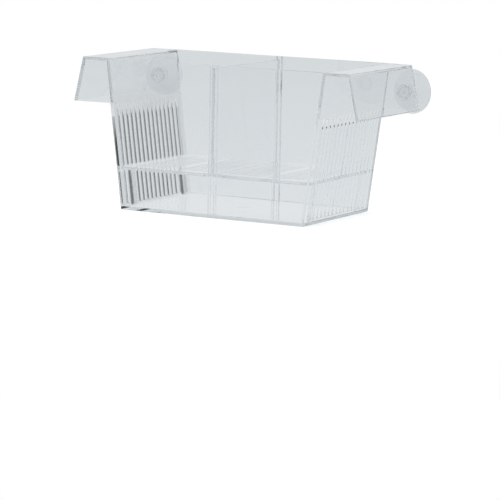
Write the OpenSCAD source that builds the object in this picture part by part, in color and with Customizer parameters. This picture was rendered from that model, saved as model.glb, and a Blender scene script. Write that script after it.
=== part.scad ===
// Fish breeding box: a clear tub that hangs inside an aquarium by two hollow arms.
// X runs along the tub, Y from front to back (the arms' suction cups face +Y), Z up.
// The origin is the middle of the underside. All sizes are in millimetres.

/* [Tub] */
// Height of the rim above the underside
tub_h = 94; // [80:1:120]
// Outside length at the rim, without the arms
rim_l = 154; // [144:1:190]
// Outside length at the underside
base_l = 129; // [110:1:140]
// Outside width, front to back
tub_w = 86; // [70:1:110]
// Thickness of the four walls
wall = 1.8; // [1.5:0.1:2.4]
// Thickness of the floor
floor_t = 2; // [1.5:0.1:3]

/* [Slits in the end walls] */
// Width of one slit at the inside of the wall
slit_w = 2.4; // [1.8:0.1:2.8]
// How far each side of a slit spreads towards the outside of the wall
slit_flare = 0.25; // [0.1:0.05:0.5]
// How much higher a slit ends at the outside of the wall
slit_runout = 7.3; // [0.5:0.1:9]
// Distance from one slit to the next
slit_pitch = 5; // [4.7:0.1:7]
// Solid wall kept between the outermost slit and the long wall
slit_margin = 3.5; // [2:0.5:8]
// Solid wall kept between the floor and the slits
slit_sill = 1.2; // [1:0.1:6]
// Solid wall kept between the slits and the level of the arms' lower edge
slit_head = 1; // [1:0.5:8]

/* [Hanging arms] */
// Reach of an arm's top from the rim
arm_reach = 16.7; // [14:0.1:24]
// Height of an arm's skirt
arm_h = 28; // [26:1:36]
// How much further out an arm's lower edge lies than its top
arm_flare = 6.3; // [3:0.1:8]
// Angle in plan by which an arm's rear panel turns outwards
arm_toe = 7; // [0:1:14]
// Thickness of an arm's walls
arm_t = 1.8; // [1.5:0.1:2.2]

/* [Divider and its guides] */
// Thickness of the divider
divider_t = 1.8; // [1.5:0.1:3]
// Distance from the rim down to the top of the divider
divider_drop = 2; // [0.5:0.5:8]
// Gap between the divider's face and a guide rib
divider_play = 0.3; // [0.2:0.05:0.6]
// Gap between the divider's edge and the long wall
divider_gap = 0.4; // [0.2:0.1:0.8]
// Thickness of one guide rib
rib_t = 1.4; // [1.2:0.1:2.6]
// How far a guide rib stands in from the wall
rib_depth = 2; // [1.5:0.1:4]

/* [Slotted tray] */
// Height of the tray's top above the underside
tray_z = 27; // [20:1:40]
// Thickness of the tray's plate
tray_t = 2; // [1.5:0.1:3]
// Gap between the tray and the walls
tray_gap = 0.5; // [0.3:0.1:1]
// Gap between a guide and the notch that clears it
notch_play = 3.6; // [0.4:0.1:4]
// Width of one slot
slot_w = 2; // [1.2:0.1:3]
// Distance from one row of slots to the next
slot_pitch = 5.6; // [4.5:0.1:8]
// Solid border round the slots
tray_border = 7; // [5:0.5:10]
// Solid strip between two slots of one row
slot_web = 6; // [3:0.5:12]
// Solid strip in the middle, which the divider stands on
divider_land = 12; // [6:0.5:20]
// Width of one leg
leg_w = 5; // [3:0.5:8]
// Thickness of one leg
leg_t = 2; // [1.5:0.1:3]
// Distance from the tray's long edge to a leg
leg_inset = 7.5; // [4:0.5:14]

/* [Suction cups] */
// Diameter of the lip
cup_d = 28; // [22:0.5:34]
// Depth from the shoulder to the lip
cup_depth = 5.5; // [4.5:0.1:8]
// Diameter of the shoulder that bears on the arm
shoulder_d = 9.6; // [8:0.1:12]
// Length of the shoulder before it widens into the cup
shoulder_l = 0.8; // [0.4:0.1:1.2]
// Width of the flat ring on the lip that meets the glass
lip_t = 0.6; // [0.4:0.1:1.2]
// Depth of the hollow behind the glass
dish_h = 3.3; // [2:0.1:4]
// Diameter of the neck
neck_d = 6; // [4:0.1:7]
// Length of the neck between shoulder and head
neck_l = 4.6; // [3.5:0.1:7]
// Gap all round between the neck and its hole in the arm
neck_play = 0.05; // [0.03:0.01:0.1]
// Gap between the head and the inside of the arm's rear panel
head_gap = 0.3; // [0.1:0.1:0.5]
// Diameter of the head that keeps the cup in the arm
head_d = 10; // [8.4:0.1:12]
// Thickness of the head
head_t = 2.8; // [1.6:0.1:4]
// Small bevel on the head's edge, next to the neck
head_bevel = 0.4; // [0.2:0.1:0.6]
// Diameter of the blind hole in the head
core_d = 3.2; // [1.5:0.1:3.6]
// Depth of the blind hole in the head
core_l = 4.2; // [2:0.1:5]
// Distance from the rim down to the hole for the neck
cup_drop = 17.2; // [15:0.1:20]
// Distance outwards from the rim to the hole for the neck
cup_out = 12; // [9:0.1:12.5]

/* [Hidden] */
$fn = 96;

// Clear polystyrene, and the warmer clear soft PVC of the cups
clear_plastic = [0.83, 0.87, 0.89, 0.45];
clear_tray = [0.78, 0.84, 0.88, 0.6];
clear_pvc = [0.86, 0.87, 0.82, 0.6];

// The end walls lean out: half lengths at a height, and the wall measured along X
lean = (rim_l - base_l) / 2 / tub_h;
wall_x = wall * sqrt(1 + lean * lean);
function outer_x(z) = base_l / 2 + lean * z;
function inner_x(z) = outer_x(z) - wall_x;
inner_w = tub_w - 2 * wall;

// Slits: as many as fit between the margins, from the sill up to the arms
slit_w_out = slit_w + 2 * slit_flare;
slit_past = 0.5;
slit_room = inner_w - 2 * slit_margin - slit_w_out;
slit_count = floor(slit_room / slit_pitch) + 1;
slit_z0 = floor_t + slit_sill;
slit_z1 = tub_h - arm_h - slit_head;

// Arms: their outer face leans out too, and their rear panel is toed out in plan
arm_z0 = tub_h - arm_h;
arm_lean = arm_flare / arm_h;
arm_t_x = arm_t * sqrt(1 + arm_lean * arm_lean);
function arm_x(z) = rim_l / 2 + arm_reach + arm_lean * (tub_h - z);
function root_x(z) = outer_x(z) - wall_x / 2;
function rear_y(x) = tub_w / 2 - (x - rim_l / 2) * tan(arm_toe);
// Where the inside of the rear panel meets the inside line of the long wall
rear_kink = arm_toe == 0 ? 0 : arm_t * (1 - 1 / cos(arm_toe)) / tan(arm_toe);

// Guides: two ribs a side with the divider between them
guide_gap = divider_t + 2 * divider_play;
guide_w = guide_gap + 2 * rib_t;
rib_y = inner_w / 2 - rib_depth;

// Divider: from the tray up to just under the rim
divider_w = inner_w - 2 * divider_gap;
divider_h = tub_h - divider_drop - tray_z;

// Tray: a plate that clears the walls, on legs that stand on the floor
tray_half_l = inner_x(tray_z - tray_t) - tray_gap;
tray_half_w = inner_w / 2 - tray_gap;
notch_w = guide_w + 2 * notch_play;
notch_y = rib_y - tray_gap;
leg_y = tray_half_w - leg_inset - leg_w / 2;
slot_rows = floor((2 * (tray_half_w - tray_border) - slot_w) / slot_pitch) + 1;
slot_l = (tray_half_l - tray_border - divider_land / 2 - slot_web) / 2;

// Cups: the axis of each neck is square to the rear panel of its arm
hole_x = rim_l / 2 + cup_out;
hole_z = tub_h - cup_drop;
hole_y = rear_y(hole_x);
head_z1 = -arm_t - head_gap;
head_z0 = head_z1 - head_t;
shoulder_z = head_z1 + neck_l;
cup_lip_z = shoulder_z + cup_depth;
dish_r = cup_d / 2 - lip_t;
dish_sphere = (dish_r * dish_r + dish_h * dish_h) / (2 * dish_h);
// Steps along the curves of a cup's outline
DISH_STEPS = 8;
HEAD_STEPS = 4;
// How far a cutting shape runs past what it cuts
past = 1;

// An XZ outline swept along Y, centred on Y = 0
module along_y(width) {
    rotate([90, 0, 0]) linear_extrude(width, center = true) children();
}

// A slot with round ends, lying along the first axis
module obround(length, width) {
    square([length - width, width], center = true);
    for (side = [-1, 1]) translate([side * (length - width) / 2, 0]) circle(d = width);
}

// ---------- tub ----------

module tub_outside() {
    along_y(tub_w)
        polygon([
            [-outer_x(0), 0], [outer_x(0), 0],
            [outer_x(tub_h), tub_h], [-outer_x(tub_h), tub_h]
        ]);
}

module tub_inside() {
    top = tub_h + past;
    along_y(inner_w)
        polygon([
            [-inner_x(floor_t), floor_t], [inner_x(floor_t), floor_t],
            [inner_x(top), top], [-inner_x(top), top]
        ]);
}

// A slit's section square to the wall: x from the wall's outer face, spreading outwards
module slit_section() {
    spread = slit_flare / wall;
    half_in = slit_w / 2 - spread * slit_past;
    half_out = slit_w_out / 2 + spread * slit_past;
    polygon([
        [-wall - slit_past, -half_in], [slit_past, -half_out],
        [slit_past, half_out], [-wall - slit_past, half_in]
    ]);
}

// A slit's side view: its upper end climbs towards the outside
module slit_side() {
    x_in = inner_x(slit_z0) - past;
    x_out = outer_x(slit_z1) + past;
    z_in = slit_z1 - slit_runout;
    climb = slit_runout / (outer_x(slit_z1) - inner_x(z_in));
    polygon([
        [x_in, slit_z0], [x_out, slit_z0], [x_out, slit_z1 + climb * past],
        [x_in, z_in - climb * (inner_x(z_in) - x_in)]
    ]);
}

// The row of slits through one end wall, along its lean
module end_slits() {
    for (i = [0 : slit_count - 1])
        translate([0, (i - (slit_count - 1) / 2) * slit_pitch, 0])
            intersection() {
                along_y(slit_w_out + 2 * past) slit_side();
                translate([outer_x(0), 0, 0])
                    rotate([0, atan(lean), 0])
                        linear_extrude(tub_h) slit_section();
            }
}

module guide_ribs() {
    for (side = [-1, 1], end = [-1, 1])
        translate([
            side * (guide_gap + rib_t) / 2,
            end * (rib_y + (rib_depth + wall / 2) / 2),
            (floor_t / 2 + tub_h) / 2
        ])
            cube([rib_t, rib_depth + wall / 2, tub_h - floor_t / 2], center = true);
}

// One arm is a box with no bottom; its inner side is the tub's own end wall
module arm_block() {
    intersection() {
        along_y(tub_w)
            polygon([
                [root_x(arm_z0), arm_z0], [arm_x(arm_z0), arm_z0],
                [arm_x(tub_h), tub_h], [root_x(tub_h), tub_h]
            ]);
        far = arm_x(arm_z0) + past;
        linear_extrude(tub_h)
            polygon([
                [0, -tub_w / 2], [far, -tub_w / 2], [far, rear_y(far)],
                [rim_l / 2, tub_w / 2], [0, tub_w / 2]
            ]);
    }
}

module arm_hollow() {
    low = arm_z0 - past;
    top = tub_h - arm_t;
    far = arm_x(arm_z0) + 2 * past;
    inset = arm_t / cos(arm_toe);
    intersection() {
        along_y(tub_w)
            polygon([
                [root_x(low), low], [arm_x(low) - arm_t_x, low],
                [arm_x(top) - arm_t_x, top], [root_x(top), top]
            ]);
        linear_extrude(tub_h)
            polygon([
                [0, -tub_w / 2 + arm_t], [far, -tub_w / 2 + arm_t], [far, rear_y(far) - inset],
                [rim_l / 2 + rear_kink, tub_w / 2 - arm_t], [0, tub_w / 2 - arm_t]
            ]);
    }
}

// Puts a shape on the axis of the right cup's neck, +Z pointing out of the rear panel
module on_cup_axis() {
    translate([hole_x, hole_y, hole_z]) rotate([0, 0, -arm_toe]) rotate([-90, 0, 0]) children();
}

module arm() {
    difference() {
        arm_block();
        arm_hollow();
        on_cup_axis()
            translate([0, 0, -arm_t - past])
                cylinder(h = arm_t + 2 * past, d = neck_d + 2 * neck_play);
    }
}

module tub() {
    color(clear_plastic) {
        difference() {
            tub_outside();
            tub_inside();
            end_slits();
            mirror([1, 0, 0]) end_slits();
        }
        guide_ribs();
        arm();
        mirror([1, 0, 0]) arm();
    }
}

// ---------- slotted tray ----------

module tray_outline() {
    difference() {
        square([2 * tray_half_l, 2 * tray_half_w], center = true);
        for (end = [-1, 1])
            translate([0, end * (notch_y + tray_half_w + past) / 2])
                square([notch_w, tray_half_w - notch_y + past], center = true);
    }
}

// Rows of slots, two long ones on each side of the divider's strip
module tray_slots() {
    for (i = [0 : slot_rows - 1], side = [-1, 1], n = [0, 1])
        translate([
            side * (divider_land / 2 + slot_l / 2 + n * (slot_l + slot_web)),
            (i - (slot_rows - 1) / 2) * slot_pitch
        ])
            obround(slot_l, slot_w);
}

// A leg leans with the end wall, so that its foot clears the wall too
module tray_leg() {
    foot_x = inner_x(floor_t) - tray_gap;
    under = tray_z - tray_t;
    middle = tray_z - tray_t / 2;
    translate([0, leg_y, 0])
        along_y(leg_w)
            polygon([
                [foot_x - leg_t, floor_t], [foot_x, floor_t], [tray_half_l, under],
                [tray_half_l, middle], [tray_half_l - leg_t, middle], [tray_half_l - leg_t, under]
            ]);
}

module slotted_tray() {
    color(clear_tray) {
        translate([0, 0, tray_z - tray_t])
            linear_extrude(tray_t) difference() {
                tray_outline();
                tray_slots();
            }
        for (side = [0, 1], end = [0, 1]) mirror([side, 0, 0]) mirror([0, end, 0]) tray_leg();
    }
}

// ---------- divider ----------

module divider() {
    color(clear_plastic)
        translate([0, 0, tray_z + divider_h / 2])
            cube([divider_t, divider_w, divider_h], center = true);
}

// ---------- suction cups ----------

// Half outline of a cup, turned about the neck's axis: r across, z along
function dish(i) = let (r = dish_r * (1 - i / DISH_STEPS))
    [r, cup_lip_z - dish_h + dish_sphere - sqrt(dish_sphere * dish_sphere - r * r)];
function head_arc(i) = let (a = 90 * i / HEAD_STEPS, round = head_t / 2)
    [head_d / 2 - round + round * sin(a), head_z0 + round - round * cos(a)];

module cup_outline() {
    polygon(concat(
        [for (i = [0 : DISH_STEPS]) dish(i)],
        [
            [0, head_z0 + core_l], [core_d / 2, head_z0 + core_l],
            [core_d / 2, head_z0]
        ],
        [for (i = [0 : HEAD_STEPS]) head_arc(i)],
        [
            [head_d / 2, head_z1 - head_bevel], [head_d / 2 - head_bevel, head_z1],
            [neck_d / 2, head_z1], [neck_d / 2, shoulder_z],
            [shoulder_d / 2, shoulder_z], [shoulder_d / 2, shoulder_z + shoulder_l],
            [cup_d / 2 - lip_t, cup_lip_z - 2 * lip_t], [cup_d / 2, cup_lip_z - lip_t],
            [cup_d / 2, cup_lip_z]
        ]
    ));
}

module suction_cup() {
    color(clear_pvc) on_cup_axis() rotate_extrude() cup_outline();
}

module right_suction_cup() {
    suction_cup();
}

module left_suction_cup() {
    mirror([1, 0, 0]) suction_cup();
}

tub();
slotted_tray();
divider();
left_suction_cup();
right_suction_cup();
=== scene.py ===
# %% [markdown]
# # A clear fish breeding box, built as a lesson
# The tub, the slotted tray and the divider are injection moulded from clear polystyrene, and the two
# suction cups from clear soft PVC. A clear thing has no colour of its own to paint: what the eye sees
# is light that bends through it, light that bounces inside its edges, and the room around it. So the
# lesson spends its effort on true wall thicknesses, eased edges and a studio with light and dark sides.

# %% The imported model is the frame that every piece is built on
import math

import bmesh
import bpy
import numpy as np
from mathutils import Matrix, Vector


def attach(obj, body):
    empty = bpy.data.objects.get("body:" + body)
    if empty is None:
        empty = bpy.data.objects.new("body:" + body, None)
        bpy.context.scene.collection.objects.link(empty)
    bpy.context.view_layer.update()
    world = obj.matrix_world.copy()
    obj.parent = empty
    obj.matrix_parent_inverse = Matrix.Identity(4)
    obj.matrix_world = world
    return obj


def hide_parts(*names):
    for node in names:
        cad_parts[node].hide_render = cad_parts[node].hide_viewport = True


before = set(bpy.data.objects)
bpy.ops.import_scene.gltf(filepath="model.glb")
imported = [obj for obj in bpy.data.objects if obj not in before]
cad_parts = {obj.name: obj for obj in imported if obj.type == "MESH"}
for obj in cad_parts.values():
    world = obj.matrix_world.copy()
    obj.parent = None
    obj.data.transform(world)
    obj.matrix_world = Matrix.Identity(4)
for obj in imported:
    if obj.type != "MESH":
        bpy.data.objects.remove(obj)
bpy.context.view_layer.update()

scene = bpy.context.scene
print("CAD nodes:", sorted(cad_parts))

# %% [markdown]
# ## Small helpers
# Sizes are written in millimetres, because that is how a moulding is drawn, and turned to metres once,
# when a mesh is made. Colours are written as the sRGB hex values that a colour picker shows, but shader
# nodes take linear light, so one function converts them. One more function adds a shader node with
# its settings and its links, which keeps every material readable as a short list.

# %% Units, colours and nodes
MM = 0.001


def linear(hex_code):
    """Turns an sRGB hex colour into the linear RGBA that shader nodes take."""
    srgb = np.array([int(hex_code[i:i + 2], 16) for i in (1, 3, 5)]) / 255
    rgb = np.where(srgb <= 0.04045, srgb / 12.92, ((srgb + 0.055) / 1.055) ** 2.4)
    return (*rgb.tolist(), 1.0)


def add(tree, kind, inputs=None, **settings):
    """Adds one node. inputs maps a socket to a value, or to the output that feeds it."""
    new = tree.nodes.new(kind)
    for key, value in settings.items():
        setattr(new, key, value)
    for key, value in (inputs or {}).items():
        if isinstance(value, bpy.types.NodeSocket):
            tree.links.new(value, new.inputs[key])
        else:
            new.inputs[key].default_value = value
    return new


def empty_material(name):
    """A material whose node tree is empty, and that tree."""
    made = bpy.data.materials.new(name)
    made.use_nodes = True
    made.node_tree.nodes.clear()
    return made, made.node_tree


print("white as linear light:", linear("#FFFFFF"))

# %% [markdown]
# ## Camera
# A long lens from almost two metres away keeps the walls of a small clear box nearly parallel. The
# camera looks from the right of the front and slightly down. Its axes are worked out from yaw, pitch
# and roll and put straight into its matrix, so no constraint or target object is needed.

# %% The camera
CAM_YAW = math.radians(29.18)
CAM_PITCH = math.radians(8.58)
CAM_ROLL = math.radians(1.08)
CAM_DISTANCE = 1834.3
AIM = np.array([0.0, 0.0, 47.0])
AIM_RIGHT = 3.75
AIM_DOWN = 71.17
FRAME_PX = 500
FOCAL_PX = 2941.6
SENSOR = 36.0

back = np.array([
    math.sin(CAM_YAW) * math.cos(CAM_PITCH),
    -math.cos(CAM_YAW) * math.cos(CAM_PITCH),
    math.sin(CAM_PITCH),
])
level = np.array([math.cos(CAM_YAW), math.sin(CAM_YAW), 0.0])
upward = np.cross(back, level)
eye = (AIM + back * CAM_DISTANCE + level * AIM_RIGHT - upward * AIM_DOWN) * MM

pose = np.eye(4)
pose[:3, 0] = level * math.cos(CAM_ROLL) + upward * math.sin(CAM_ROLL)
pose[:3, 1] = upward * math.cos(CAM_ROLL) - level * math.sin(CAM_ROLL)
pose[:3, 2] = back
pose[:3, 3] = eye

lens = bpy.data.cameras.new("camera")
lens.sensor_width = SENSOR
lens.lens = FOCAL_PX / FRAME_PX * SENSOR
lens.clip_end = 100
camera = bpy.data.objects.new("camera", lens)
camera.matrix_world = Matrix(pose.tolist())
scene.collection.objects.link(camera)
scene.camera = camera
print("camera at", eye.round(3), "with a", round(lens.lens), "mm lens")

# %% [markdown]
# ## Studio
# Clear plastic borrows its look from what stands around it. A studio puts pale cards round it, so that
# its walls read as a soft cool grey: lighter overhead, and darker at one side, which draws the end
# walls. Just above the table stands a low black flag with a sloping upper edge. Only light that a slit
# bends, or that is bounced about inside an edge, ends on it and draws a dark line there. Here the world
# and the floor play those cards: rays that glance off the plastic or go through it see them, while the
# camera itself sees plain white paper. Two lamps light that paper evenly, and the plastic doesn't see
# them, so that no glare hides what lies behind it.
#
# Light can turn dozens of times inside a clear edge before it gets out, and a ray that is cut short
# turns black. So the number of bounces is high, and the edges stay as pale as real ones.

# %% What the plastic sees around it
scene.view_settings.view_transform = "Standard"
BOUNCES = 128
scene.cycles.max_bounces = BOUNCES
scene.cycles.glossy_bounces = BOUNCES
scene.cycles.transmission_bounces = BOUNCES
scene.cycles.transparent_max_bounces = BOUNCES // 2

WHITE = (1, 1, 1, 1)
PAPER = "#FDFDFD"
HIGH_CARD = "#ECEEEF"
PALE_CARD = "#DBDFE1"
GREY_SIDE = "#C1C5C7"
BLACK_FLAG = "#08090A"
GREY_BEARING = math.radians(61)
GREY_HALF = math.radians(40)
FLAG_BEARING = math.radians(5)
FLAG_HALF = math.radians(57)
# Heights are the Z of a direction of length 1, and the flag slopes between two values of its Y
PALE_TOP = (math.sin(math.radians(4)), math.sin(math.radians(6)))
GREY_TOP = math.sin(math.radians(8))
GREY_FADE = 0.02
FLAG_TOP = (math.sin(math.radians(5.6)), math.sin(math.radians(2.4)))
FLAG_FROM = (math.sin(math.radians(-26)), math.sin(math.radians(58)))
FLAG_FADE = 0.004
CARD_BLUR = math.radians(2)
LAMP_FILL = 0.62


def facing(tree, flat, bearing, half):
    """1 where a level unit vector lies within half of a bearing, fading to 0 over the blur."""
    toward = (math.cos(bearing), math.sin(bearing), 0)
    cosine = add(tree, "ShaderNodeVectorMath", {0: flat, 1: toward}, operation="DOT_PRODUCT")
    return add(tree, "ShaderNodeMapRange", {
        "Value": cosine.outputs["Value"], "From Min": math.cos(half + CARD_BLUR),
        "From Max": math.cos(half), "To Min": 0.0, "To Max": 1.0}, interpolation_type="SMOOTHSTEP").outputs[0]


def levelled(tree, vector):
    """A vector without its height, at length 1: the compass direction only."""
    flat = add(tree, "ShaderNodeVectorMath", {0: vector, 1: (1, 1, 0)}, operation="MULTIPLY")
    return add(tree, "ShaderNodeVectorMath", {0: flat.outputs[0]}, operation="NORMALIZE").outputs[0]


def through_plastic(tree):
    """The light path, and 1 for a ray that has glanced off the plastic or gone through it."""
    path = add(tree, "ShaderNodeLightPath")
    seen = add(tree, "ShaderNodeMath", {
        0: path.outputs["Is Glossy Ray"], 1: path.outputs["Is Transmission Ray"]}, operation="MAXIMUM")
    return path, seen.outputs[0]


world = bpy.data.worlds.new("studio")
scene.world = world
world.use_nodes = True
tree = world.node_tree
tree.nodes.clear()
sky = add(tree, "ShaderNodeTexCoord").outputs["Generated"]
bearing = levelled(tree, sky)
height = add(tree, "ShaderNodeSeparateXYZ", {0: sky}).outputs["Z"]
high = add(tree, "ShaderNodeMapRange", {"Value": height, "From Min": PALE_TOP[0], "From Max": PALE_TOP[1]})
cards = add(tree, "ShaderNodeMix", {
    0: high.outputs[0], 6: linear(PALE_CARD), 7: linear(HIGH_CARD)}, data_type="RGBA")
low = add(tree, "ShaderNodeMapRange", {
    "Value": height, "From Min": GREY_TOP + GREY_FADE, "From Max": GREY_TOP})
grey = add(tree, "ShaderNodeMath", {
    0: facing(tree, bearing, GREY_BEARING, GREY_HALF), 1: low.outputs[0]}, operation="MULTIPLY")
cards = add(tree, "ShaderNodeMix", {
    0: grey.outputs[0], 6: cards.outputs[2], 7: linear(GREY_SIDE)}, data_type="RGBA")
sideways = add(tree, "ShaderNodeSeparateXYZ", {0: bearing}).outputs["Y"]
slope = add(tree, "ShaderNodeMapRange", {
    "Value": sideways, "From Min": FLAG_FROM[0], "From Max": FLAG_FROM[1],
    "To Min": FLAG_TOP[0], "To Max": FLAG_TOP[1]})
under = add(tree, "ShaderNodeMath", {0: slope.outputs[0], 1: height}, operation="SUBTRACT")
under = add(tree, "ShaderNodeMapRange", {
    "Value": under.outputs[0], "From Min": -FLAG_FADE, "From Max": FLAG_FADE})
flag = add(tree, "ShaderNodeMath", {
    0: facing(tree, bearing, FLAG_BEARING, FLAG_HALF), 1: under.outputs[0]}, operation="MULTIPLY")
cards = add(tree, "ShaderNodeMix", {
    0: flag.outputs[0], 6: cards.outputs[2], 7: linear(BLACK_FLAG)}, data_type="RGBA")
path, seen = through_plastic(tree)
fill = add(tree, "ShaderNodeBackground", {"Color": WHITE, "Strength": LAMP_FILL})
room = add(tree, "ShaderNodeBackground", {"Color": cards.outputs[2], "Strength": 1.0})
paper = add(tree, "ShaderNodeBackground", {"Color": WHITE, "Strength": 1.0})
lit = add(tree, "ShaderNodeMixShader", {0: seen, 1: fill.outputs[0], 2: room.outputs[0]})
shown = add(tree, "ShaderNodeMixShader", {
    0: path.outputs["Is Camera Ray"], 1: lit.outputs[0], 2: paper.outputs[0]})
add(tree, "ShaderNodeOutputWorld", {"Surface": shown.outputs[0]})
print("world:", len(tree.nodes), "nodes")

# %% The floor
# The card that the plastic sees fades with distance, and so does the white that the camera sees
FLOOR_HALF = 15000.0
FLOOR_DROP = 0.15
NEAR_CARD, FAR_CARD, CARD_FADE = "#E1E5E7", "#D8DCDE", 1.1
SHADOW_REACH = (0.3, 0.6)

floor_mesh = bpy.data.meshes.new("floor")
reach = FLOOR_HALF * MM
floor_mesh.from_pydata(
    [(-reach, -reach, -FLOOR_DROP * MM), (reach, -reach, -FLOOR_DROP * MM),
     (reach, reach, -FLOOR_DROP * MM), (-reach, reach, -FLOOR_DROP * MM)], [], [(0, 1, 2, 3)])
floor = bpy.data.objects.new("floor", floor_mesh)
scene.collection.objects.link(floor)

floor_paper, tree = empty_material("floor_paper")
where = add(tree, "ShaderNodeTexCoord").outputs["Object"]
away = add(tree, "ShaderNodeVectorMath", {0: where}, operation="LENGTH").outputs["Value"]
fade = add(tree, "ShaderNodeMapRange", {"Value": away, "From Min": 0.0, "From Max": CARD_FADE})
cards = add(tree, "ShaderNodeMix", {
    0: fade.outputs[0], 6: linear(NEAR_CARD), 7: linear(FAR_CARD)}, data_type="RGBA")
past_shadow = add(tree, "ShaderNodeMapRange", {
    "Value": away, "From Min": SHADOW_REACH[0], "From Max": SHADOW_REACH[1]}, interpolation_type="SMOOTHSTEP")
path, seen = through_plastic(tree)
far_off = add(tree, "ShaderNodeMath", {
    0: past_shadow.outputs[0], 1: path.outputs["Is Camera Ray"]}, operation="MULTIPLY")
matt = add(tree, "ShaderNodeBsdfDiffuse", {"Color": linear(PAPER)})
white = add(tree, "ShaderNodeEmission", {"Color": WHITE, "Strength": 1.0})
card = add(tree, "ShaderNodeEmission", {"Color": cards.outputs[2], "Strength": 1.0})
mix = add(tree, "ShaderNodeMixShader", {0: far_off.outputs[0], 1: matt.outputs[0], 2: white.outputs[0]})
mix = add(tree, "ShaderNodeMixShader", {0: seen, 1: mix.outputs[0], 2: card.outputs[0]})
add(tree, "ShaderNodeOutputMaterial", {"Surface": mix.outputs[0]})
floor_mesh.materials.append(floor_paper)
print("floor:", len(tree.nodes), "nodes")


# %% The lamps
def softbox(name, at, size, power):
    """A rectangular area lamp that looks at the middle of the box."""
    lamp = bpy.data.lights.new(name, "AREA")
    lamp.shape = "RECTANGLE"
    lamp.size, lamp.size_y = size
    lamp.energy = power
    made = bpy.data.objects.new(name, lamp)
    scene.collection.objects.link(made)
    at, target = Vector(at), Vector((0, 0, 0.05))
    made.matrix_world = (at - target).to_track_quat("Z", "Y").to_matrix().to_4x4()
    made.location = at
    made.visible_camera = made.visible_glossy = made.visible_transmission = False
    return made


softbox("top_softbox", at=(-0.25, -0.15, 1.5), size=(1.2, 1.2), power=14)
softbox("left_softbox", at=(-1.3, -0.5, 0.8), size=(0.7, 0.9), power=5)

# %% [markdown]
# ## Clear plastics
# Moulded polystyrene is hard and glassy, with an IOR of 1.59. It is polished like its mould, so it has
# almost no roughness, but the melt cools unevenly and leaves slow ripples, and handling leaves fine
# hairlines. Both are drawn with bump. A real hairline is a few hundredths of a millimetre wide, too
# fine to show from here, so their pattern is drawn 0.7 mm across. A trace of absorption greys long
# paths inside the plastic, which is why edges look deeper in colour than faces. The soft PVC of the
# cups is a little duller and bends light less. Lamps are let straight through, as clear plastic throws
# hardly any shadow.

# %% Clear polystyrene and clear soft PVC
RIPPLE = 16.0
HAIRLINE = 0.7
WORN = 2.5
LAMP_TINT = (0.94, 0.945, 0.95, 1)


def clear_plastic(name, tint, haze, ior, rough, absorbs, density, ripple_depth, hairline_depth):
    """Ripples and hairlines are millimetres across and deep; density is absorption for each metre."""
    made, tree = empty_material(name)
    where = add(tree, "ShaderNodeTexCoord").outputs["Object"]
    ripple = add(tree, "ShaderNodeTexNoise", {
        "Vector": where, "Scale": 1 / (RIPPLE * MM), "Detail": 1.0, "Roughness": 0.4})
    hair = add(tree, "ShaderNodeTexNoise", {
        "Vector": where, "Scale": 1 / (HAIRLINE * MM), "Detail": 3.0, "Roughness": 0.6, "Distortion": 0.4})
    slow = add(tree, "ShaderNodeBump", {
        "Height": ripple.outputs[0], "Strength": 1.0, "Distance": ripple_depth * MM})
    fine = add(tree, "ShaderNodeBump", {
        "Height": hair.outputs[0], "Strength": 1.0, "Distance": hairline_depth * MM,
        "Normal": slow.outputs[0]})
    colour = add(tree, "ShaderNodeMix", {
        0: ripple.outputs[0], 6: linear(tint), 7: linear(haze)}, data_type="RGBA")
    polish = add(tree, "ShaderNodeMapRange", {
        "Value": hair.outputs[0], "From Min": 0.35, "From Max": 0.75,
        "To Min": rough, "To Max": rough * WORN})
    body = add(tree, "ShaderNodeBsdfPrincipled", {
        "Base Color": colour.outputs[2], "IOR": ior, "Roughness": polish.outputs[0],
        "Transmission Weight": 1.0, "Normal": fine.outputs[0]})
    path = add(tree, "ShaderNodeLightPath")
    lamp_ray = add(tree, "ShaderNodeMath", {
        0: path.outputs["Is Shadow Ray"], 1: path.outputs["Is Diffuse Ray"]}, operation="MAXIMUM")
    open_air = add(tree, "ShaderNodeBsdfTransparent", {"Color": LAMP_TINT})
    mix = add(tree, "ShaderNodeMixShader", {
        0: lamp_ray.outputs[0], 1: body.outputs[0], 2: open_air.outputs[0]})
    depth = add(tree, "ShaderNodeVolumeAbsorption", {"Color": linear(absorbs), "Density": density})
    add(tree, "ShaderNodeOutputMaterial", {"Surface": mix.outputs[0], "Volume": depth.outputs[0]})
    print(name, len(tree.nodes), "nodes")
    return made


polystyrene = clear_plastic(
    "moulded_clear_polystyrene", tint="#FDFDFD", haze="#FBFCFD", ior=1.59, rough=0.004,
    absorbs="#C6CDD0", density=6.0, ripple_depth=0.004, hairline_depth=0.0002)
soft_pvc = clear_plastic(
    "moulded_clear_soft_pvc", tint="#F8F9FA", haze="#F2F4F5", ior=1.53, rough=0.03,
    absorbs="#B8BEC2", density=30.0, ripple_depth=0.02, hairline_depth=0.001)

# %% [markdown]
# ## How a moulding is drawn here
# A moulding is one closed skin. It could be cut from blocks with booleans, but they leave long ragged
# faces that a bevel tears. Here each wall is worked out as rows of points instead: a strip of quads
# spans two rows, a plate closes a flat outline, and welding joins them where their points meet.
# The bevel then has clean edges to round, a little more on the outline than in the fine slits.


# %% Rows, strips and plates
def row(x, y, z):
    """Points (x, y, z) in millimetres, with single numbers repeated to the length of the arrays."""
    return np.stack(np.broadcast_arrays(*(np.atleast_1d(np.asarray(v, float)) for v in (x, y, z))), axis=-1)


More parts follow.
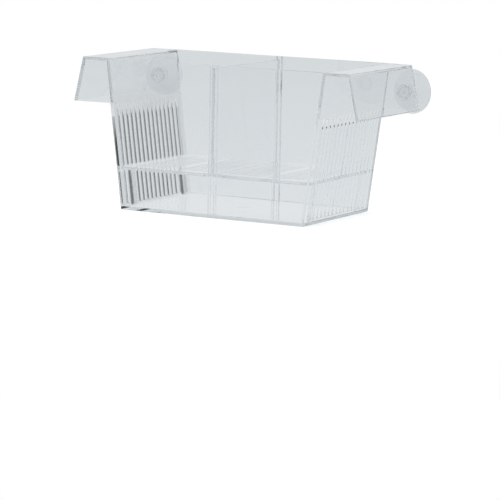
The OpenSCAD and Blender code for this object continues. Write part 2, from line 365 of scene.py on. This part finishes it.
class Skin:
    """Strips and plates of one closed skin, in millimetres, gathered until they are welded."""

    def __init__(self):
        self.points, self.faces, self.total = [], [], 0

    def strip(self, first, second, every=1):
        """Quads between two rows of n points: quad i joins points i and i + 1 of both rows."""
        n = len(first)
        start = self.total + np.arange(0, n - 1, every)
        self.points += [first, second]
        self.faces += np.stack([start, start + 1, start + 1 + n, start + n], axis=1).tolist()
        self.total += 2 * n

    def plate(self, *rows):
        """One flat face whose outline runs through all the rows in turn."""
        outline = np.concatenate(rows)
        self.points.append(outline)
        self.faces.append((self.total + np.arange(len(outline))).tolist())
        self.total += len(outline)

    def join(self, other, axis=None):
        """Adds another skin's patches, with one coordinate turned round where an axis is given."""
        points = np.concatenate(other.points)
        if axis is not None:
            points[:, axis] *= -1
        self.points.append(points)
        self.faces += [[corner + self.total for corner in face] for face in other.faces]
        self.total += len(points)


WELD = 0.004
SHARP = math.radians(25)
CREASE = math.radians(40)


def weld(name, skin, body, node, material, ease=0.0, fine=None, smooth=False):
    """Welds a skin into a piece. ease is the bevel's width, and fine(middle) its share at an edge."""
    mesh = bpy.data.meshes.new(name)
    mesh.from_pydata((np.concatenate(skin.points) * MM).tolist(), [], skin.faces)
    shape = bmesh.new()
    shape.from_mesh(mesh)
    bmesh.ops.remove_doubles(shape, verts=shape.verts, dist=WELD * MM)
    bmesh.ops.dissolve_degenerate(shape, edges=shape.edges, dist=WELD * MM)
    bmesh.ops.recalc_face_normals(shape, faces=shape.faces)
    if shape.calc_volume(signed=True) < 0:
        bmesh.ops.reverse_faces(shape, faces=shape.faces)
    open_edges = sum(not edge.is_manifold for edge in shape.edges)
    if ease:
        layer = shape.edges.layers.float.new("bevel_weight_edge")
        for edge in shape.edges:
            if edge.calc_face_angle(0) > SHARP:
                middle = (edge.verts[0].co + edge.verts[1].co) / 2 / MM
                edge[layer] = fine(middle) if fine else 1.0
    for face in shape.faces:
        face.smooth = smooth
    volume = shape.calc_volume() / MM ** 3
    shape.to_mesh(mesh)
    shape.free()
    if smooth:
        mesh.set_sharp_from_angle(angle=CREASE)
    mesh.materials.append(material)
    piece = bpy.data.objects.new(name, mesh)
    scene.collection.objects.link(piece)
    if ease:
        bevel = piece.modifiers.new("eased edges", "BEVEL")
        bevel.width = ease * MM
        bevel.segments = 2
        bevel.limit_method = "WEIGHT"
        bevel.use_clamp_overlap = False
        bevel.miter_outer = "MITER_ARC"
    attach(piece, body)
    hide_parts(node)
    print(name, len(mesh.polygons), "faces,", round(volume), "cubic mm,", open_edges, "open edges")
    return piece


# %% [markdown]
# ## The tub
# The tub is one moulding: four thin walls and a floor, end walls that lean out so that it slips off
# its mould, slits in them for the water, two ribs a side that guide the divider, and a hollow arm at
# each end that hangs over the side of a tank. Its shape is a set of straight lines, so every patch
# follows from a few sizes and the lean of the end wall.

# %% Sizes of the tub
TUB_H, RIM_L, BASE_L, TUB_W = 94.0, 154.0, 129.0, 86.0
WALL, FLOOR_T = 1.8, 2.0
ARM_REACH, ARM_H, ARM_FLARE, ARM_T = 16.7, 28.0, 6.3, 1.8
ARM_TOE = math.radians(7)

lean = (RIM_L - BASE_L) / 2 / TUB_H
wall_x = WALL * math.hypot(1, lean)
half_out = TUB_W / 2
half_in = half_out - WALL
arm_z = TUB_H - ARM_H
arm_lean = ARM_FLARE / ARM_H
arm_t_x = ARM_T * math.hypot(1, arm_lean)


def outer_x(z):
    """Half length outside: it grows by the lean for each millimetre of height."""
    return BASE_L / 2 + lean * np.asarray(z, float)


def inner_x(z):
    """Half length inside: the wall's slanted thickness less than outside."""
    return outer_x(z) - wall_x


def arm_x(z):
    """The arm's outer face: furthest out at its lower edge."""
    return RIM_L / 2 + ARM_REACH + arm_lean * (TUB_H - np.asarray(z, float))


def rear_y(x):
    """The arm's rear panel in plan: a line turned outwards from the tub's rear corner by the toe."""
    return half_out - (np.asarray(x, float) - RIM_L / 2) * math.tan(ARM_TOE)


print("half length inside, at the floor and rim:", inner_x([FLOOR_T, TUB_H]).round(2))

# %% [markdown]
# ### End wall with its slits
# A slit is formed by a steel tooth, so it spreads a little outwards and its upper end slopes, to let
# the tooth draw out. That slope is long: the slit ends low on the inside and runs out high on the
# outside, which draws a pale tail above each stripe. What is left between two slits is a bar about as
# wide as a slit. Light that goes through a bar's side is bent away to the low dark flag, and the light
# beside it goes straight on. So the dark stripes come from the shape alone, and none is painted.

# %% The end wall
SLIT_W, SLIT_FLARE, SLIT_RUNOUT, SLIT_PITCH, SLITS = 2.4, 0.25, 7.3, 5.0, 15
SLIT_LOW, SLIT_HIGH = 3.2, 65.0
slit_inner_top = SLIT_HIGH - SLIT_RUNOUT

slit_y = (np.arange(SLITS) - (SLITS - 1) / 2) * SLIT_PITCH
inner_edges = (slit_y[:, None] + np.array([-1, 1]) * SLIT_W / 2).ravel()
outer_edges = (slit_y[:, None] + np.array([-1, 1]) * (SLIT_W / 2 + SLIT_FLARE)).ravel()
inner_line = np.concatenate([[-half_in], inner_edges, [half_in]])
outer_line = np.concatenate([[-half_out], outer_edges, [half_out]])


def end_wall():
    """The right end wall: bars between the slits on both faces, slit sides between the faces."""
    skin = Skin()
    for line, x_at, z_low, z_high, top, bottom in (
            (inner_line, inner_x, SLIT_LOW, slit_inner_top, TUB_H, FLOOR_T),
            (outer_line, outer_x, SLIT_LOW, SLIT_HIGH, arm_z, 0.0)):
        low, high = row(x_at(z_low), line, z_low), row(x_at(z_high), line, z_high)
        skin.strip(low, high, every=2)
        ends = line[[-1, 0]]
        skin.plate(low, row(x_at(bottom), ends, bottom))
        extra = np.array([half_out, half_in, -half_in, -half_out]) if top == arm_z else ends
        skin.plate(high, row(x_at(top), extra, top))
    for side in (0, 1):
        ins, outs = inner_edges[side::2], outer_edges[side::2]
        for y_in, y_out in zip(ins, outs):
            skin.plate(row(inner_x(SLIT_LOW), y_in, SLIT_LOW),
                       row(inner_x(slit_inner_top), y_in, slit_inner_top),
                       row(outer_x(SLIT_HIGH), y_out, SLIT_HIGH), row(outer_x(SLIT_LOW), y_out, SLIT_LOW))
    for z_in, z_out in ((SLIT_LOW, SLIT_LOW), (slit_inner_top, SLIT_HIGH)):
        skin.strip(row(inner_x(z_in), inner_edges, z_in), row(outer_x(z_out), outer_edges, z_out), every=2)
    return skin


right_end = end_wall()
print("end wall:", len(right_end.faces), "patches,", SLITS, "slits")

# %% [markdown]
# ### Hanging arm
# The arm is a box with no bottom. Its outer face leans out, and its rear panel is toed, so that the
# suction cup meets the glass squarely when the arm bends. Around the neck's hole each panel is
# split into four plates that share the hole's rim, which keeps the rim a true round.

# %% The arm
CUP_DROP, CUP_OUT = 17.2, 12.0
NECK_D, NECK_PLAY = 6.0, 0.05
HOLE_STEPS = 48

hole_x, hole_z = RIM_L / 2 + CUP_OUT, TUB_H - CUP_DROP
cup_axis = np.array([math.sin(ARM_TOE), math.cos(ARM_TOE), 0.0])
panel_along = np.array([math.cos(ARM_TOE), -math.sin(ARM_TOE), 0.0])
hole_at = np.array([hole_x, float(rear_y(hole_x)), hole_z])


def hole_rim(depth):
    """A circle in the rear panel: centre + r (cos t along + sin t up), depth mm behind its outer face."""
    turn = np.arange(HOLE_STEPS + 1) / HOLE_STEPS * 2 * math.pi - math.pi * 3 / 4
    spokes = np.cos(turn)[:, None] * panel_along + np.sin(turn)[:, None] * np.array([0, 0, 1.0])
    return hole_at - cup_axis * depth + spokes * (NECK_D / 2 + NECK_PLAY)


def holed_panel(skin, corners, depth):
    """Four plates from a panel's corners (low near, low far, high far, high near) to a hole's rim."""
    rim = hole_rim(depth)
    quarter = HOLE_STEPS // 4
    for i in range(4):
        arc = rim[i * quarter:(i + 1) * quarter + 1]
        skin.plate(corners[[i, (i + 1) % 4]], arc[::-1])
    return rim


def hanging_arm():
    """The right arm: flat faces between the tub's end, the flap's lean and the rear panel's toe."""
    skin = Skin()
    low, top, roof = arm_z, TUB_H, TUB_H - ARM_T
    far_low, far_top, far_roof = arm_x(low), arm_x(top), arm_x(roof)
    in_low, in_roof = far_low - arm_t_x, far_roof - arm_t_x
    inset = ARM_T / math.cos(ARM_TOE)
    corner = RIM_L / 2
    kink = corner + ARM_T * (1 - 1 / math.cos(ARM_TOE)) / math.tan(ARM_TOE)
    front, front_in = -half_out, -half_in
    # Outer faces: front, flap, rear, and the wedge between the tub's corner and the rim
    skin.plate(row([outer_x(low), far_low, far_top, corner], front, [low, low, top, top]))
    skin.plate(row([far_low, far_low, far_top, far_top], [front, rear_y(far_low), rear_y(far_top), front],
                   [low, low, top, top]))
    skin.plate(row([outer_x(low), corner, corner], half_out, [low, low, top]))
    outside = holed_panel(skin, row([corner, far_low, far_top, corner],
                                    [half_out, rear_y(far_low), rear_y(far_top), half_out],
                                    [low, low, top, top]), 0.0)
    # Inner faces: front, flap, rear, the small return beside the tub, and the roof
    skin.plate(row([outer_x(low), in_low, in_roof, outer_x(roof)], front_in, [low, low, roof, roof]))
    skin.plate(row([in_low, in_low, in_roof, in_roof],
                   [front_in, rear_y(in_low) - inset, rear_y(in_roof) - inset, front_in],
                   [low, low, roof, roof]))
    skin.plate(row([outer_x(low), kink, outer_x(roof)], half_in, [low, low, roof]))
    inside = holed_panel(skin, row([kink, in_low, in_roof, outer_x(roof)],
                                   [half_in, rear_y(in_low) - inset, rear_y(in_roof) - inset, half_in],
                                   [low, low, roof, roof]), ARM_T)
    skin.strip(outside, inside)
    skin.plate(row([outer_x(roof), in_roof, in_roof, outer_x(roof)],
                   [front_in, front_in, rear_y(in_roof) - inset, half_in], roof))
    # The tub's own wall inside the hollow, and the lower edge of the skirt
    skin.plate(row([outer_x(low), outer_x(low), outer_x(roof), outer_x(roof)],
                   [front_in, half_in, half_in, front_in], [low, low, roof, roof]))
    edge_out = row([outer_x(low), far_low, far_low, corner, outer_x(low)],
                   [front, front, rear_y(far_low), half_out, half_out], low)
    edge_in = row([outer_x(low), in_low, in_low, kink, outer_x(low)],
                  [front_in, front_in, rear_y(in_low) - inset, half_in, half_in], low)
    skin.strip(edge_out, edge_in)
    # The top, from the tub's inner edge to the flap
    skin.plate(row([inner_x(top), corner, far_top, far_top, corner, inner_x(top)],
                   [front_in, front, front, rear_y(far_top), half_out, half_in], top))
    return skin


right_arm = hanging_arm()
print("arm:", len(right_arm.faces), "patches")

# %% [markdown]
# ### Long walls, guides and floor
# The long walls are plain plates. Two ribs stand on the inside of each and the divider slides between
# them. The underside carries the mark that every injection moulding has: a round dimple, in which
# the frozen stub of plastic from the gate can't scratch a table.

# %% Long walls, guides and floor
DIVIDER_T, DIVIDER_PLAY, RIB_T, RIB_DEPTH = 1.8, 0.3, 1.4, 2.0
GATE_D, GATE_DEPTH, GATE_SLOPE, GATE_STEPS = 9.0, 0.5, 0.4, 40
STUB_D, STUB_H, STUB_SLOPE = 2.4, 0.35, 0.1

rib_in = DIVIDER_T / 2 + DIVIDER_PLAY
rib_out = rib_in + RIB_T
rib_tip = half_in - RIB_DEPTH
wall_z_in = np.array([FLOOR_T, SLIT_LOW, slit_inner_top, TUB_H])
wall_z_out = np.array([0.0, SLIT_LOW, SLIT_HIGH, arm_z])


def rear_wall():
    """The rear long wall with its guides; the front one is its mirror image."""
    skin = Skin()
    for side in (-1, 1):
        skin.plate(row(side * inner_x(wall_z_in), half_in, wall_z_in),
                   row(side * rib_out, half_in, [TUB_H, FLOOR_T]))
        inner, outer = side * rib_in, side * rib_out
        fold = row([inner, inner, outer, outer], [half_in, rib_tip, rib_tip, half_in], FLOOR_T)
        skin.strip(fold, fold + row(0, 0, TUB_H - FLOOR_T))
        skin.plate(fold + row(0, 0, TUB_H - FLOOR_T))
    skin.plate(row([-rib_in, rib_in, rib_in, -rib_in], half_in, [FLOOR_T, FLOOR_T, TUB_H, TUB_H]))
    corner_x = np.append(outer_x(wall_z_out), RIM_L / 2)
    corner_z = np.append(wall_z_out, TUB_H)
    skin.plate(row(corner_x, half_out, corner_z), row(-corner_x[::-1], half_out, corner_z[::-1]))
    rim = np.array([inner_x(TUB_H), rib_out, rib_in])
    skin.plate(row([-RIM_L / 2, RIM_L / 2], half_out, TUB_H),
               row(np.concatenate([rim, -rim[::-1]]), half_in, TUB_H))
    return skin


def tub_floor():
    """One face: a quarter of its outline, round the foot of a rib, mirrored into all four quarters."""
    skin = Skin()
    quarter = row([inner_x(FLOOR_T), rib_out, rib_out, rib_in, rib_in],
                  [half_in, half_in, rib_tip, rib_tip, half_in], FLOOR_T)
    skin.plate(quarter, (quarter * [-1, 1, 1])[::-1], quarter * [-1, -1, 1], (quarter * [1, -1, 1])[::-1])
    return skin


def gate_mark():
    """The underside around the gate: rings r (cos t, sin t) that step up into the dimple and back."""
    skin = Skin()
    turn = np.arange(GATE_STEPS + 1) / GATE_STEPS * 2 * math.pi - math.pi * 3 / 4
    rings = [(GATE_D / 2, 0.0), (GATE_D / 2 - GATE_SLOPE, GATE_DEPTH), (STUB_D / 2, GATE_DEPTH),
             (STUB_D / 2 - STUB_SLOPE, GATE_DEPTH - STUB_H)]
    loops = [row(r * np.cos(turn), r * np.sin(turn), z) for r, z in rings]
    for outer, inner in zip(loops, loops[1:]):
        skin.strip(outer, inner)
    skin.plate(loops[-1][:-1])
    quarter = GATE_STEPS // 4
    x, y = BASE_L / 2, half_out
    corners = row([-x, x, x, -x], [-y, -y, y, y], 0.0)
    for i in range(4):
        skin.plate(corners[[i, (i + 1) % 4]], loops[0][i * quarter:(i + 1) * quarter + 1][::-1])
    return skin


tub = Skin()
for part, axis in ((right_end, 0), (right_arm, 0), (rear_wall(), 1)):
    tub.join(part)
    tub.join(part, axis)
tub.join(tub_floor())
tub.join(gate_mark())


EASE, FINE_EASE = 0.3, 0.2
SLIT_SHARE, SLOT_SHARE = 0.3, 0.5
SLITS_FROM_X, SLITS_TO_Y, SLITS_PLAY = 60.0, 38.0, 0.1


def tub_ease(middle):
    """Full easing on the outline, about a third of it in the slits and at the gate."""
    in_slit = (abs(middle.x) > SLITS_FROM_X and abs(middle.y) < SLITS_TO_Y
               and SLIT_LOW - SLITS_PLAY < middle.z < SLIT_HIGH + SLITS_PLAY)
    at_gate = middle.z < 1 and math.hypot(middle.x, middle.y) < GATE_D
    return SLIT_SHARE if in_slit or at_gate else 1.0


weld("tub_moulding", tub, "tub", "tub", polystyrene, EASE, tub_ease)

# %% [markdown]
# ## The slotted tray
# The tray is a flat plate on four legs, with rows of slots that let eggs and fry drop through. Every
# slot sits in a rectangular cell of its own, and the same two plates, one on each side of the slot,
# are repeated over the whole grid by adding an array of offsets.

# %% Sizes of the tray
TRAY_Z, TRAY_T, TRAY_GAP = 27.0, 2.0, 0.5
NOTCH_PLAY, SLOT_W, SLOT_PITCH, TRAY_BORDER, SLOT_WEB, DIVIDER_LAND = 3.6, 2.0, 5.6, 7.0, 6.0, 12.0
LEG_W, LEG_T, LEG_INSET, FOOT_LIFT = 5.0, 2.0, 7.5, 0.05
SLOT_ROWS, SLOT_STEPS = 12, 5

tray_x = float(inner_x(TRAY_Z - TRAY_T)) - TRAY_GAP
tray_y = half_in - TRAY_GAP
notch_x = rib_out + NOTCH_PLAY
notch_y = rib_tip - TRAY_GAP
leg_y = tray_y - LEG_INSET - LEG_W / 2
slot_l = (tray_x - TRAY_BORDER - DIVIDER_LAND / 2 - SLOT_WEB) / 2
print("tray:", round(2 * tray_x, 1), "by", round(2 * tray_y, 1), "mm, slots", round(slot_l, 2), "mm long")


# %% The tray
def slot_outline():
    """Half a slot round its centre, from its right tip to its left one: two quarter circles and a line."""
    turn = np.linspace(0, math.pi / 2, SLOT_STEPS + 1)
    x = slot_l / 2 - SLOT_W / 2 + SLOT_W / 2 * np.cos(turn)
    y = SLOT_W / 2 * np.sin(turn)
    return np.concatenate([x, -x[::-1]]), np.concatenate([y, y[::-1]])


def slotted_plate():
    """Cells of two mirrored plates round each slot, strips and borders between them, and the rim."""
    skin = Skin()
    half_cell = (slot_l + SLOT_WEB) / 2
    columns = DIVIDER_LAND / 2 + slot_l / 2 + np.array([0, 1]) * (slot_l + SLOT_WEB)
    columns = np.concatenate([-columns[::-1], columns])
    rows_y = (np.arange(SLOT_ROWS) - (SLOT_ROWS - 1) / 2) * SLOT_PITCH
    xs, ys = slot_outline()
    top, under = TRAY_Z, TRAY_Z - TRAY_T
    for cx in columns:
        for cy in rows_y:
            for flip in (-1, 1):
                rim = row(cx + xs, cy + flip * ys, top)
                cell = row(cx + half_cell * np.array([-1, -1, 1, 1]),
                           cy + flip * SLOT_PITCH / 2 * np.array([0, 1, 1, 0]), top)
                skin.plate(rim, cell)
                skin.plate(rim - row(0, 0, TRAY_T), cell - row(0, 0, TRAY_T))
                skin.strip(rim, rim - row(0, 0, TRAY_T))
    edge_x = float(columns[-1] + half_cell)
    mid_x = float(columns[2] - half_cell)
    edge_y = SLOT_ROWS * SLOT_PITCH / 2
    marks = np.arange(2 * SLOT_ROWS + 1) * SLOT_PITCH / 2 - edge_y
    cell_x = np.array([-edge_x, -(edge_x + mid_x) / 2, -mid_x, mid_x, (edge_x + mid_x) / 2, edge_x])
    leg_low, leg_high, leg_in = leg_y - LEG_W / 2, leg_y + LEG_W / 2, tray_x - LEG_T
    steps_y = np.array([edge_y, leg_high, leg_high, leg_low, leg_low])
    steps_x = np.array([tray_x, tray_x, leg_in, leg_in, tray_x])
    for z in (top, under):
        skin.strip(row(-mid_x, marks, z), row(mid_x, marks, z))
        for side in (-1, 1):
            if z == top:
                border = row(side * tray_x, [edge_y, -edge_y], z)
            else:
                border = row(side * np.concatenate([steps_x, steps_x[::-1]]),
                             np.concatenate([steps_y, -steps_y[::-1]]), z)
            skin.plate(row(side * edge_x, marks, z), border)
            skin.plate(row([-tray_x, *cell_x, tray_x], side * edge_y, z),
                       row([tray_x, notch_x, notch_x, -notch_x, -notch_x, -tray_x],
                           side * np.array([tray_y, tray_y, notch_y, notch_y, tray_y, tray_y]), z))
    # Rim of the plate: the long sides with their notches, and the ends above the legs
    outline = row([tray_x, notch_x, notch_x, -notch_x, -notch_x, -tray_x],
                  [tray_y, tray_y, notch_y, notch_y, tray_y, tray_y], top)
    for side in (-1, 1):
        turned = outline * [1, side, 1]
        skin.strip(turned, turned - row(0, 0, TRAY_T))
        down = np.array([tray_y, edge_y, leg_high, leg_low])
        skin.plate(row(side * tray_x, [-tray_y, -edge_y, edge_y, tray_y], top),
                   row(side * tray_x, np.concatenate([down, -down[::-1]]), under))
    return skin


def tray_legs():
    """Each leg leans with the end wall: the same rectangle carried from the plate down to the foot."""
    skin = Skin()
    foot_x = float(inner_x(FLOOR_T)) - TRAY_GAP
    under, foot_z = TRAY_Z - TRAY_T, FLOOR_T + FOOT_LIFT
    foot_x += lean * FOOT_LIFT
    for side in (-1, 1):
        for end in (-1, 1):
            y = end * leg_y + LEG_W / 2 * np.array([-1, 1, 1, -1, -1])
            outward = np.array([1, 1, 0, 0, 1])
            high = row(side * (tray_x - LEG_T + LEG_T * outward), y, under)
            low = row(side * (foot_x - LEG_T + LEG_T * outward), y, foot_z)
            skin.strip(high, low)
            skin.plate(low[:-1])
    return skin


tray = slotted_plate()
tray.join(tray_legs())


SLOTS_TO_X, SLOTS_TO_Y, SLOTS_FROM_Z = tray_x - 3, 33.0, 24.0


def tray_ease(middle):
    """Full easing on the outline and the legs, a half at the slots."""
    in_slot = abs(middle.x) < SLOTS_TO_X and abs(middle.y) < SLOTS_TO_Y and middle.z > SLOTS_FROM_Z
    return SLOT_SHARE if in_slot else 1.0


weld("tray_moulding", tray, "tray", "slotted_tray", polystyrene,
     FINE_EASE, tray_ease)

# %% [markdown]
# ## The divider
# A plain clear panel that drops between the guide ribs and stands on the tray. It is lifted by a
# hair, because two clear faces in exactly the same place would confuse the rays that cross them.

# %% The divider
DIVIDER_DROP, DIVIDER_GAP, DIVIDER_LIFT = 2.0, 0.4, 0.06

divider = Skin()
width = half_in - DIVIDER_GAP
foot = row(np.array([1, 1, -1, -1, 1]) * DIVIDER_T / 2, np.array([-1, 1, 1, -1, -1]) * width,
           TRAY_Z + DIVIDER_LIFT)
head = foot.copy()
head[:, 2] = TUB_H - DIVIDER_DROP
divider.strip(foot, head)
divider.plate(foot[:-1])
divider.plate(head[:-1])
weld("divider_panel", divider, "divider", "divider", polystyrene, FINE_EASE)

# %% [markdown]
# ## The suction cups
# A cup is turned: one outline spun round the axis of its neck. The outline is worked out in order,
# from the middle of the hollow that meets the glass, over the thin lip, down the bell and the neck,
# round the head that is buttoned through the arm, to the blind hole that the core pin leaves.

# %% The outline of a cup
CUP_D, CUP_DEPTH, SHOULDER_D, SHOULDER_L, LIP_T, DISH_H = 28.0, 5.5, 9.6, 0.8, 0.6, 3.3
NECK_L, HEAD_GAP, HEAD_D, HEAD_T, HEAD_BEVEL, CORE_D, CORE_L = 4.6, 0.3, 10.0, 2.8, 0.4, 3.2, 4.2
LIP_ROUND, EDGE_ROUND, BASE_ROUND, NECK_ROUND, CORE_ROUND = 0.18, 0.15, 0.2, 0.15, 0.12
BELL_SAG = 0.22
CUP_TURNS = 96

head_high = -ARM_T - HEAD_GAP
head_low = head_high - HEAD_T
shoulder = head_high + NECK_L
lip = shoulder + CUP_DEPTH
dish_r = CUP_D / 2 - LIP_T
dish_sphere = (dish_r ** 2 + DISH_H ** 2) / (2 * DISH_H)


def corner_arc(centre, radius, start, stop, steps=5):
    """Points on a small round corner: centre + radius (cos a, sin a)."""
    a = np.radians(np.linspace(start, stop, steps))
    return np.stack([centre[0] + radius * np.cos(a), centre[1] + radius * np.sin(a)], axis=1)


def cup_outline():
    """(r, u) pairs: r from the axis, u along it, 0 at the outer face of the arm's rear panel."""
    r = np.linspace(0, dish_r, 25)
    dish = np.stack([r, lip - DISH_H + dish_sphere - np.sqrt(dish_sphere ** 2 - r ** 2)], axis=1)
    rim = corner_arc((CUP_D / 2 - LIP_ROUND, lip - LIP_ROUND), LIP_ROUND, 90, 0, 4)
    edge = corner_arc((CUP_D / 2 - EDGE_ROUND, lip - LIP_T + EDGE_ROUND / 3), EDGE_ROUND, 0, -60, 4)
    t = np.linspace(0, 1, 13)
    bell_r = CUP_D / 2 - LIP_T + (SHOULDER_D / 2 - CUP_D / 2 + LIP_T) * t
    bell_u = lip - 2 * LIP_T + (shoulder + SHOULDER_L - lip + 2 * LIP_T) * t
    bell = np.stack([bell_r, bell_u - BELL_SAG * np.sin(math.pi * t)], axis=1)
    base = corner_arc((SHOULDER_D / 2 - BASE_ROUND, shoulder + BASE_ROUND), BASE_ROUND, 0, -90, 4)
    neck = np.array([[NECK_D / 2 + NECK_ROUND, shoulder], [NECK_D / 2, shoulder - NECK_ROUND],
                     [NECK_D / 2, head_high + NECK_ROUND], [NECK_D / 2 + CORE_ROUND, head_high]])
    shelf = np.array([[HEAD_D / 2 - HEAD_BEVEL, head_high], [HEAD_D / 2, head_high - HEAD_BEVEL]])
    button = corner_arc((HEAD_D / 2 - HEAD_T / 2, head_low + HEAD_T / 2), HEAD_T / 2, 0, -90, 9)
    core = np.array([[CORE_D / 2 + CORE_ROUND, head_low], [CORE_D / 2, head_low + CORE_ROUND],
                     [CORE_D / 2, head_low + CORE_L - BASE_ROUND],
                     [CORE_D / 2 - BASE_ROUND, head_low + CORE_L], [0, head_low + CORE_L]])
    return np.concatenate([dish, rim, edge, bell, base, neck, shelf, button, core])


outline = cup_outline()
print("cup outline:", len(outline), "points, from", outline[:, 1].min().round(2), "to",
      outline[:, 1].max().round(2))


# %% Both cups
def turned_cup(side):
    """The outline spun: hole + u axis + r (cos t along + sin t up), mirrored in X for the left cup."""
    skin = Skin()
    t = np.arange(CUP_TURNS + 1) / CUP_TURNS * 2 * math.pi
    spokes = np.cos(t)[:, None] * panel_along + np.sin(t)[:, None] * np.array([0, 0, 1.0])
    rings = hole_at + outline[:, None, 1:] * cup_axis + outline[:, None, :1] * spokes
    rings[..., 0] *= side
    for one, other in zip(rings, rings[1:]):
        skin.strip(one, other)
    return skin


for name, body, side in (("left", "left_cup", -1), ("right", "right_cup", 1)):
    weld(name + "_cup_moulding", turned_cup(side), body, name + "_suction_cup",
         soft_pvc, smooth=True)
